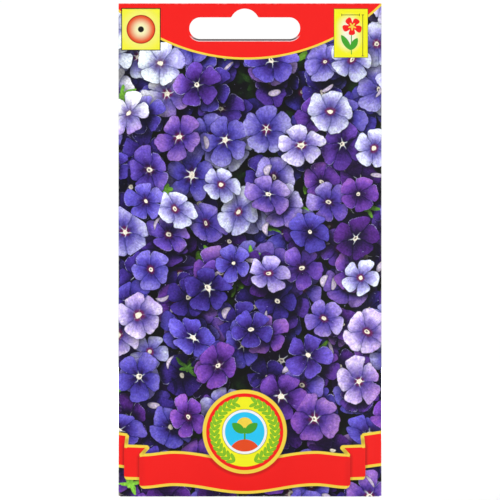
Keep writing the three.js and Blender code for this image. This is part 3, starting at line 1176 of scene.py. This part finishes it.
def toned(tint, factor):
    """A constant colour made darker or lighter."""
    return tuple(min(1.0, factor * part) for part in tint)


def coated_paper(name, group, mirrored=0.0, bleed=None):
    """Glossy printed paper. A mirrored print carries on round a fold onto a flap."""
    material, nodes, shader = new_material(name)
    paper = bpy.context.scene.packet_raw.paper
    place, coordinates = print_place(nodes)
    if mirrored:
        x, y, _ = nodes.parts(place)
        offset = x - PRINT_MIDDLE
        beyond = nodes.calc("SIGN", offset) * mirrored - offset
        place = nodes.join(beyond + PRINT_MIDDLE, y)
    tint = nodes.use(group, Place=place)["Color"]
    if bleed:
        x, _, _ = nodes.parts(coordinates)
        inward = HALF_WIDTH - abs(x - MIDDLE_X)
        bare = nodes.step(inward, bleed - BLEED_EDGE, bleed + BLEED_EDGE)
        tint = nodes.mix(bare, tint, paper)
    wear = nodes.numbers(cached_group("Paper wear", build_paper_wear), Object=coordinates)
    tint = nodes.mix(wear["Rubbed"], tint, paper)
    roughness = wear["Haze"] * 0.14 + 0.3 + wear["Rubbed"] * 0.3
    nodes.feed(shader, Base_Color=tint, Roughness=roughness, Specular_IOR_Level=0.18)
    emboss(nodes, shader, wear["Relief"], 0.25, 0.12)
    return material


def bare_paper(name):
    """Uncoated paper with short fibres, on the cut edges and inside."""
    material, nodes, shader = new_material(name)
    paper = bpy.context.scene.packet_raw.paper
    fibres = nodes.noise(nodes.coordinates(), 3000.0, 4.0, Distortion=1.5)
    tint = nodes.mix(nodes.step(fibres, 0.3, 0.7), toned(paper, 0.8), paper)
    roughness = fibres * 0.2 + 0.75
    nodes.feed(shader, Base_Color=tint, Roughness=roughness, Specular_IOR_Level=0.2)
    emboss(nodes, shader, fibres, 0.4, 0.03)
    return material


def dried_glue(name):
    """A clouded film of dried glue."""
    material, nodes, shader = new_material(name)
    glue = bpy.context.scene.packet_raw.glue
    clouds = nodes.noise(nodes.coordinates(), 240.0, 4.0, Distortion=0.8)
    tint = nodes.mix(nodes.step(clouds, 0.3, 0.7), toned(glue, 0.7), glue)
    nodes.feed(shader, Base_Color=tint, Roughness=clouds * 0.3 + 0.25)
    emboss(nodes, shader, clouds, 0.5, 0.04)
    return material


def seed_coat(name):
    """A dull brown seed coat with darker wrinkles."""
    material, nodes, shader = new_material(name)
    raw = bpy.context.scene.packet_raw
    coordinates = nodes.coordinates()
    wrinkles = nodes.noise(coordinates, 1900.0, 4.0, Distortion=1.2)
    mottle = nodes.noise(coordinates, 420.0, 2.0)
    tint = nodes.mix(nodes.step(wrinkles, 0.35, 0.62), raw.seed_dark, raw.seed)
    tint = nodes.mix(nodes.step(mottle, 0.5, 0.75, 0.0, 0.6), tint, toned(raw.seed, 1.7))
    nodes.feed(shader, Base_Color=tint, Roughness=wrinkles * 0.3 + 0.6)
    emboss(nodes, shader, wrinkles, 0.8, 0.08)
    return material


FLOOR_FADE = (0.3, 1.1)


def studio_floor(name):
    """Matt pale floor with a trace of grain, which fades into the white room."""
    material, nodes, shader = new_material(name)
    floor = bpy.context.scene.packet_raw.floor
    coordinates = nodes.coordinates()
    seen = nodes.seen_by_camera()
    fade = nodes.step(nodes.vector("LENGTH", coordinates), *FLOOR_FADE) * seen
    nodes.feed(shader, Emission_Color=nodes.mix(fade, BLACK, WHITE), Emission_Strength=1.0)
    grain = nodes.noise(coordinates, 40.0, 3.0)
    tint = nodes.mix(grain, toned(floor, 0.985), floor)
    nodes.feed(shader, Base_Color=tint, Roughness=0.9, Specular_IOR_Level=0.0)
    return material


# Modelling helpers ------------------------------------------------------------------------------


def deselect_all():
    if bpy.context.object and bpy.context.object.mode != "OBJECT":
        bpy.ops.object.mode_set(mode="OBJECT")
    bpy.ops.object.select_all(action="DESELECT")


def make_active(piece):
    deselect_all()
    piece.select_set(True)
    bpy.context.view_layer.objects.active = piece


def settle_in_place(piece):
    """Puts the piece's place into its mesh, so that the object sits at the origin."""
    make_active(piece)
    bpy.ops.object.transform_apply(location=True, rotation=True, scale=True)


def apply_modifier(piece, kind, **settings):
    make_active(piece)
    modifier = piece.modifiers.new(kind.title(), kind)
    for name, value in settings.items():
        setattr(modifier, name, value)
    bpy.ops.object.modifier_apply(modifier=modifier.name)


def extrude(x=0.0, y=0.0, z=0.0):
    """In edit mode, draws the selected part out by that much."""
    bpy.ops.mesh.extrude_region_move(TRANSFORM_OT_translate={"value": (x, y, z)})


def select_where(piece, kind, test):
    """In edit mode, selects the "faces" or "edges" whose centre and self pass the test."""
    mesh = bmesh.from_edit_mesh(piece.data)
    for part in [*mesh.faces, *mesh.edges, *mesh.verts]:
        part.select_set(False)
    mesh.select_mode = {kind[:4].upper()}
    for part in getattr(mesh, kind):
        centre = sum((vert.co for vert in part.verts), Vector()) / len(part.verts)
        if test(centre, part):
            part.select_set(True)
    mesh.select_flush_mode()
    bmesh.update_edit_mesh(piece.data)


# Paper sheet ------------------------------------------------------------------------------------

# Places closer than NEAR count as the same, and points closer than WELD are joined
NEAR = 0.02 * MM
WELD = 0.001 * MM
# How many pieces each fold, flap, back panel and round of the slot is made of
SIDE_FOLD_STEPS = 6
BOTTOM_FOLD_STEPS = 5
FLAP_STEPS = 8
BACK_STEPS = 60
ROUND_STEPS = 24
FILLET_STEPS = 8
# The dents reach their full depth where the pouch stands this far forward
DENT_FADE = 0.5 * MM
SMOOTH_ANGLE = math.radians(40)


class Folds:
    """Places of the sheet's layers and folds, worked out from its sizes."""

    def __init__(self, sizes):
        half = sizes.paper / 2
        self.back_panel = sizes.paper + sizes.glue + half
        self.front_panel = 2 * sizes.paper + 2 * sizes.glue + half
        self.thickness = 3 * sizes.paper + 2 * sizes.glue
        self.flap = half
        self.side_radius = (self.front_panel - self.flap) / 2
        self.bottom_radius = (self.front_panel - self.back_panel) / 2
        self.front_half = HALF_WIDTH - self.thickness / 2
        self.back_half = self.front_half - sizes.paper
        self.low_z = BOTTOM_Z + self.bottom_radius + half
        self.flap_low = BOTTOM_Z + sizes.flap_gap
        self.flap_high = TOP_Z - sizes.flap_gap
        self.flap_run = sizes.flap - self.thickness / 2

    @staticmethod
    def y(depth):
        """The place of a depth, which runs forwards from the flaps' outer face."""
        return BACK_Y - depth


def bulge(x, z, sizes, folds):
    """How far the front panel stands forward of its flat place."""
    across = abs(x - MIDDLE_X) / (folds.front_half - sizes.seam)
    low = BOTTOM_Z + sizes.seam
    up = (z - low) / (TOP_Z - sizes.seal - low)
    if across >= 1 or up <= 0 or up >= 1:
        return 0.0
    full = 1 - across**sizes.fullness
    return sizes.bulge * full * math.sin(math.pi * up**sizes.heaviness)


def dent(x, z, sizes):
    """Soft dents and long creases that handling leaves, from 0 to the dents' depth."""
    u, v = (x - MIDDLE_X) / MM, z / MM
    waves = math.sin(u * 0.17 + 1.3 * math.sin(v * 0.061)) * math.sin(v * 0.113 + 0.9)
    slow = math.sin(u * 0.071 - v * 0.043 + 2.1)
    return sizes.dent * (0.5 + 0.3 * waves + 0.2 * slow)


def arc(steps, angle, x, z):
    """Draws the outline on from its selected last point, clockwise round a centre."""
    bpy.ops.mesh.spin(steps=steps, angle=-angle, center=(x, 0, z), axis=(0, 1, 0))


def slot_cutter(sizes, depth):
    """A solid of the hang slot's outline: a bar with round ends and a dome with small fillets."""
    upper = -sizes.dome_rise
    half = sizes.height / 2
    end = sizes.width / 2 - half
    reach = sizes.dome_radius + sizes.fillet
    rise = upper + sizes.fillet + sizes.dome_radius
    fillet_x = math.sqrt(reach**2 - rise**2)
    turn = math.acos(rise / reach)

    # The right half is drawn from the top of the dome down to the middle of the lower side
    deselect_all()
    bpy.ops.mesh.primitive_plane_add(size=half)
    cutter = bpy.context.object
    bpy.ops.object.mode_set(mode="EDIT")
    bpy.ops.mesh.select_mode(type="VERT")
    bpy.ops.mesh.merge(type="CENTER")
    arc(ROUND_STEPS, turn, 0, -sizes.dome_radius)
    arc(FILLET_STEPS, -turn, fillet_x, upper + sizes.fillet)
    extrude(x=end - fillet_x)
    arc(ROUND_STEPS, math.pi, end, upper - half)
    extrude(x=-end)
    apply_modifier(cutter, "MIRROR", merge_threshold=WELD)

    bpy.ops.object.mode_set(mode="EDIT")
    bpy.ops.mesh.select_all(action="SELECT")
    bpy.ops.mesh.edge_face_add()
    bpy.ops.transform.translate(value=(0, -depth / 2, 0))
    extrude(y=depth)
    bpy.ops.mesh.select_all(action="SELECT")
    bpy.ops.mesh.normals_make_consistent(inside=False)
    bpy.ops.object.mode_set(mode="OBJECT")
    return cutter


def cut_front_panel(sizes, folds):
    """The front panel as a grid, cut where the flaps and the back panel will end."""
    width = 2 * folds.front_half
    height = TOP_Z - folds.low_z
    deselect_all()
    bpy.ops.mesh.primitive_grid_add(
        x_subdivisions=round(width / sizes.cell),
        y_subdivisions=round(height / sizes.cell),
        size=1,
        location=(MIDDLE_X, folds.y(folds.front_panel), (TOP_Z + folds.low_z) / 2),
        rotation=(math.pi / 2, 0, 0),
    )
    sheet = bpy.context.object
    sheet.name = sheet.data.name = "packet_paper"
    sheet.scale = (width, height, 1)
    settle_in_place(sheet)
    bpy.ops.object.mode_set(mode="EDIT")
    bpy.ops.mesh.select_mode(type="EDGE")
    cuts = [((0, 0, level), (0, 0, 1)) for level in (folds.flap_low, folds.flap_high)]
    cuts += [((MIDDLE_X + side * folds.back_half, 0, 0), (1, 0, 0)) for side in (-1, 1)]
    for place, normal in cuts:
        bpy.ops.mesh.select_all(action="SELECT")
        bpy.ops.mesh.bisect(plane_co=place, plane_no=normal)
    return sheet


def fold_side(sheet, side, folds):
    """Draws out one side's two shoulders, and folds the part between them back into a flap."""
    edge_x = MIDDLE_X + side * folds.front_half

    def on_flap_fold(centre, edge):
        inside = folds.flap_low - NEAR < centre.z < folds.flap_high + NEAR
        return edge.is_boundary and abs(centre.x - edge_x) < NEAR and inside

    def on_shoulder(centre, edge):
        beyond = centre.z > folds.flap_high or folds.low_z < centre.z < folds.flap_low
        return edge.is_boundary and abs(centre.x - edge_x) < NEAR and beyond

    select_where(sheet, "edges", on_shoulder)
    extrude(x=side * (folds.thickness / 2 - NEAR))
    select_where(sheet, "edges", on_flap_fold)
    centre = (edge_x, folds.y(folds.front_panel) + folds.side_radius, 0)
    bpy.ops.mesh.spin(
        steps=SIDE_FOLD_STEPS, angle=-side * math.pi, center=centre, axis=(0, 0, 1)
    )
    for _ in range(FLAP_STEPS):
        extrude(x=-side * folds.flap_run / FLAP_STEPS)


def chamfer_flap(sheet, side, sizes, folds):
    """Cuts a flap's two ends on the slant."""
    flap_y = folds.y(folds.flap)
    fold_x = MIDDLE_X + side * folds.front_half

    def on_flap(centre, face):
        return abs(centre.y - flap_y) < NEAR and side * (centre.x - MIDDLE_X) > 0

    for up, end_z in ((-1, folds.flap_low), (1, folds.flap_high)):
        select_where(sheet, "faces", on_flap)
        normal = Vector((-side * sizes.flap_chamfer, 0, up * folds.flap_run)).normalized()
        place = (fold_x, flap_y, end_z)
        bpy.ops.mesh.bisect(plane_co=place, plane_no=normal, clear_outer=True)


def fold_bottom(sheet, folds):
    """Folds the sheet up behind itself, into the back panel."""

    def on_bottom(centre, edge):
        inside = abs(centre.x - MIDDLE_X) < folds.back_half
        return edge.is_boundary and abs(centre.z - folds.low_z) < NEAR and inside

    select_where(sheet, "edges", on_bottom)
    centre = (0, folds.y(folds.front_panel) + folds.bottom_radius, folds.low_z)
    bpy.ops.mesh.spin(steps=BOTTOM_FOLD_STEPS, angle=math.pi, center=centre, axis=(-1, 0, 0))
    for _ in range(BACK_STEPS):
        extrude(z=(TOP_Z - folds.low_z) / BACK_STEPS)


def fold_sheet(sizes, folds):
    """The sheet as one surface: front panel, side folds with flaps, bottom fold, back panel."""
    sheet = cut_front_panel(sizes, folds)
    for side in (-1, 1):
        fold_side(sheet, side, folds)
        chamfer_flap(sheet, side, sizes, folds)
    fold_bottom(sheet, folds)
    bpy.ops.mesh.select_all(action="SELECT")
    bpy.ops.mesh.remove_doubles(threshold=WELD)
    bpy.ops.mesh.normals_make_consistent(inside=False)
    bpy.ops.object.mode_set(mode="OBJECT")
    return sheet


# The order of the sheet's materials. The first three are the prints of its panels
PRINT_FRONT, PRINT_FLAP, PRINT_BACK, BARE = range(4)


def lay_print(sheet, folds):
    """Gives each face the print that its panel carries."""
    flap_y, back_y = folds.y(folds.flap), folds.y(folds.back_panel)
    for face in sheet.data.polygons:
        if abs(face.center.y - flap_y) < NEAR:
            face.material_index = PRINT_FLAP
        elif abs(face.center.y - back_y) < NEAR:
            face.material_index = PRINT_BACK
        else:
            face.material_index = PRINT_FRONT


def fill_pouch(sheet, sizes, folds):
    """Raises the front panel over the pouch and dents it a little."""
    front_y = folds.y(folds.front_panel)
    for vert in sheet.data.vertices:
        x, z = vert.co.x, vert.co.z
        if abs(vert.co.y - front_y) < NEAR:
            raised = bulge(x, z, sizes, folds)
            vert.co.y -= max(0.0, raised - dent(x, z, sizes) * min(1.0, raised / DENT_FADE))


def thicken_sheet(sheet, sizes, materials):
    """Gives the sheet the paper's thickness, bare on its inner face and its cut edges."""
    for material in materials:
        sheet.data.materials.append(material)
    apply_modifier(
        sheet,
        "SOLIDIFY",
        thickness=sizes.paper,
        offset=0,
        material_offset=BARE,
        material_offset_rim=BARE,
    )


def punch_slot(sheet, slot, depth, materials):
    """Cuts the hang slot through the header, and leaves bare paper on its edge."""
    cutter = slot_cutter(slot, depth)
    for material in materials:
        cutter.data.materials.append(material)
    for face in cutter.data.polygons:
        face.material_index = BARE
    apply_modifier(sheet, "BOOLEAN", operation="DIFFERENCE", solver="EXACT", object=cutter)
    bpy.data.objects.remove(cutter)
    apply_modifier(sheet, "TRIANGULATE", min_vertices=5, ngon_method="BEAUTY")


class PACKET_OT_paper(bpy.types.Operator):
    """Fold, fill, punch and print the packet's sheet of paper"""

    bl_idname = "seed_packet.paper"
    bl_label = "Paper sheet"

    def execute(self, context):
        scene = context.scene
        sizes, inks = scene.packet_sheet, scene.packet_inks
        folds = Folds(sizes)
        sheet = fold_sheet(sizes, folds)
        lay_print(sheet, folds)
        fill_pouch(sheet, sizes, folds)
        front = cached_group("Front print", build_front_print, inks)
        back = cached_group("Back print", build_back_print, inks)
        bare = bare_paper("Bare paper")
        prints = [
            coated_paper("Front print", front),
            coated_paper("Flap print", front, mirrored=2 * HALF_WIDTH / MM, bleed=4 * MM),
            coated_paper("Back print", back),
        ]
        materials = prints + [bare] * len(prints)
        thicken_sheet(sheet, sizes, materials)
        punch_slot(sheet, scene.packet_slot, 4 * folds.thickness, materials)
        make_active(sheet)
        bpy.ops.object.shade_smooth_by_angle(angle=SMOOTH_ANGLE)
        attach(sheet, "root")
        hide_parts(SHEET)
        return {"FINISHED"}


# Glue -------------------------------------------------------------------------------------------


class PACKET_OT_glue(bpy.types.Operator):
    """Give the films of glue their finish"""

    bl_idname = "seed_packet.glue"
    bl_label = "Glue films"

    def execute(self, context):
        film = dried_glue("Dried glue")
        for name in GLUE_NODES:
            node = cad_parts[name]
            node.data.materials.clear()
            node.data.materials.append(film)
        return {"FINISHED"}


# Seeds ------------------------------------------------------------------------------------------

# Faces round a seed and along it, and its shape as shares of half its size
SEED_FACES = (20, 12)
SEED_TAPER = 0.18
FURROW_DEPTH = 0.28
FURROW_WIDTH = 0.22
RIDGES = 9
RIDGE_HEIGHT = 0.05
# The wrinkled seed's share of the plain one's size
SEED_FIT = 0.97


def wrinkled_seed(smoothness):
    """One seed of length, thickness and width 1, lying along X."""
    segments, rings = SEED_FACES
    deselect_all()
    bpy.ops.mesh.primitive_uv_sphere_add(segments=segments, ring_count=rings, radius=0.5)
    seed = bpy.context.object
    seed.rotation_euler = (0, math.pi / 2, 0)
    settle_in_place(seed)
    for vert in seed.data.vertices:
        x, y, z = vert.co * 2
        taper = 1 - SEED_TAPER * x
        furrow = FURROW_DEPTH * math.exp(-((z / FURROW_WIDTH) ** 2)) * max(0.0, y)
        ridges = 1 + RIDGE_HEIGHT * math.sin(RIDGES * math.atan2(z, y)) * (1 - x * x)
        vert.co = Vector((x * 0.5, (y - furrow) * 0.5 * taper * ridges, z * 0.5 * taper * ridges))
    apply_modifier(seed, "SUBSURF", levels=smoothness, render_levels=smoothness)
    low = Vector([min(v.co[i] for v in seed.data.vertices) for i in range(3)])
    high = Vector([max(v.co[i] for v in seed.data.vertices) for i in range(3)])
    for vert in seed.data.vertices:
        vert.co = Vector(
            (vert.co[i] - (low[i] + high[i]) / 2) / (high[i] - low[i]) for i in range(3)
        )
    return seed


def seed_pose(node):
    """Centre, heading and sizes of a plain seed, read from its vertices."""
    points = np.array([vert.co for vert in node.data.vertices])
    centre = (points.min(0) + points.max(0)) / 2
    flat = points[:, [0, 2]] - centre[[0, 2]]
    _, _, axes = np.linalg.svd(flat, full_matrices=False)
    size = (np.ptp(flat @ axes[0]), np.ptp(points[:, 1]), np.ptp(flat @ axes[1]))
    return Vector(centre), math.atan2(axes[0][1], axes[0][0]), size


class PACKET_OT_seeds(bpy.types.Operator):
    """Lay a wrinkled seed in the place of each plain one"""

    bl_idname = "seed_packet.seeds"
    bl_label = "Seeds"

    def execute(self, context):
        pattern = wrinkled_seed(context.scene.packet_stage.seed_smoothness)
        pattern.data.materials.append(seed_coat("Seed coat"))
        for name in SEED_NODES:
            centre, heading, size = seed_pose(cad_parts[name])
            seed = bpy.data.objects.new("fine_" + name, pattern.data.copy())
            context.scene.collection.objects.link(seed)
            turn = Matrix.Rotation(-heading, 4, "Y")
            stretch = Matrix.Diagonal((*(SEED_FIT * part for part in size), 1))
            seed.data.transform(Matrix.Translation(centre) @ turn @ stretch)
            for face in seed.data.polygons:
                face.use_smooth = True
            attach(seed, "root")
            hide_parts(name)
        bpy.data.objects.remove(pattern)
        return {"FINISHED"}


# Stage ------------------------------------------------------------------------------------------


CLIP_END = 20
FLOOR_SIDES = 128
# Strength of the room that the camera sees, which leaves the background just white
ROOM_WHITE = 1.02
# Places of the lights round the packet and their width, in metres
LIGHT_PLACES = {"key": (-0.8, -1.5, 0.8), "fill": (0.7, -1.6, 0.3), "back": (-0.3, 1.5, 0.8)}
LIGHT_WIDTH = 0.9
# The floor light hangs behind the packet and faces straight down
FLOOR_LIGHT_PLACE = (0.0, 0.9, 2.4)
FLOOR_LIGHT_TARGET = Vector((0, 0.9, 0))
FLOOR_LIGHT_WIDTH = 2.4


def place_camera(scene, sizes, target):
    """A camera that looks straight at the packet's front from far away."""
    data = bpy.data.cameras.new("Camera")
    data.lens = data.sensor_width * sizes.view_distance / sizes.view_height
    data.clip_end = CLIP_END
    camera = bpy.data.objects.new("Camera", data)
    scene.collection.objects.link(camera)
    camera.location = target + Vector((0, -sizes.view_distance, 0))
    camera.rotation_euler = (math.pi / 2, 0, 0)
    scene.camera = camera


def lay_floor(sizes):
    """A round pale floor under the hanging packet."""
    deselect_all()
    bpy.ops.mesh.primitive_circle_add(
        vertices=FLOOR_SIDES,
        radius=sizes.floor_radius,
        fill_type="NGON",
        location=(MIDDLE_X, 0, BOTTOM_Z - sizes.floor_gap),
    )
    floor = bpy.context.object
    floor.name = "studio_floor"
    settle_in_place(floor)
    floor.data.materials.append(studio_floor("Studio floor"))
    return floor


def soft_light(name, power, place, width, target):
    """An area light that faces its target and doesn't show itself."""
    data = bpy.data.lights.new(name, "AREA")
    data.shape = "SQUARE"
    data.size = width
    data.energy = power
    light = bpy.data.objects.new(name, data)
    bpy.context.scene.collection.objects.link(light)
    light.location = place
    light.rotation_euler = (target - Vector(place)).to_track_quat("-Z", "Y").to_euler()
    light.visible_camera = False


def light_room(scene, ambient):
    """An even room light, which the camera sees as white."""
    world = bpy.data.worlds.new("Studio room")
    scene.world = world
    world.use_nodes = True
    nodes = Nodes(world.node_tree)
    background = next(n for n in world.node_tree.nodes if n.type == "BACKGROUND")
    seen = nodes.seen_by_camera()
    nodes.feed(background, Strength=seen * (ROOM_WHITE - ambient) + ambient, Color=WHITE)


class PACKET_OT_stage(bpy.types.Operator):
    """Set the camera, the pale floor and soft studio light"""

    bl_idname = "seed_packet.stage"
    bl_label = "Studio"

    def execute(self, context):
        scene = context.scene
        sizes = scene.packet_stage
        target = Vector((MIDDLE_X, 0, (TOP_Z + BOTTOM_Z) / 2))
        place_camera(scene, sizes, target)
        floor = lay_floor(sizes)
        for kind, place in LIGHT_PLACES.items():
            soft_light(f"{kind.title()} light", getattr(sizes, kind), place, LIGHT_WIDTH, target)
        soft_light(
            "Floor light", sizes.floor, FLOOR_LIGHT_PLACE, FLOOR_LIGHT_WIDTH, FLOOR_LIGHT_TARGET
        )
        light_room(scene, sizes.ambient)
        scene.view_settings.view_transform = "Standard"
        return {"FINISHED"}


# Panel and registration -------------------------------------------------------------------------

STEPS = (PACKET_OT_paper, PACKET_OT_glue, PACKET_OT_seeds, PACKET_OT_stage)
GROUPS = {
    "packet_sheet": SheetSizes,
    "packet_slot": SlotSizes,
    "packet_inks": PrintColours,
    "packet_raw": RawColours,
    "packet_stage": StageSizes,
}


class PACKET_PT_panel(bpy.types.Panel):
    """Lists the packet's steps, sizes and colours"""

    bl_label = "Seed packet"
    bl_idname = "PACKET_PT_panel"
    bl_space_type = "VIEW_3D"
    bl_region_type = "UI"
    bl_category = "Seed packet"

    def draw(self, context):
        for step in STEPS:
            self.layout.operator(step.bl_idname)
        for name, group in GROUPS.items():
            box = self.layout.box()
            box.label(text=group.__name__)
            for setting in group.__annotations__:
                box.prop(getattr(context.scene, name), setting)


def register():
    for group in GROUPS.values():
        bpy.utils.register_class(group)
    for name, group in GROUPS.items():
        setattr(bpy.types.Scene, name, PointerProperty(type=group))
    for kind in (*STEPS, PACKET_PT_panel):
        bpy.utils.register_class(kind)


def unregister():
    for kind in reversed((*STEPS, PACKET_PT_panel)):
        bpy.utils.unregister_class(kind)
    for name in GROUPS:
        delattr(bpy.types.Scene, name)
    for group in reversed(GROUPS.values()):
        bpy.utils.unregister_class(group)


def main():
    register()
    bpy.ops.seed_packet.paper()
    bpy.ops.seed_packet.glue()
    bpy.ops.seed_packet.seeds()
    bpy.ops.seed_packet.stage()


if __name__ == "__main__":
    main()
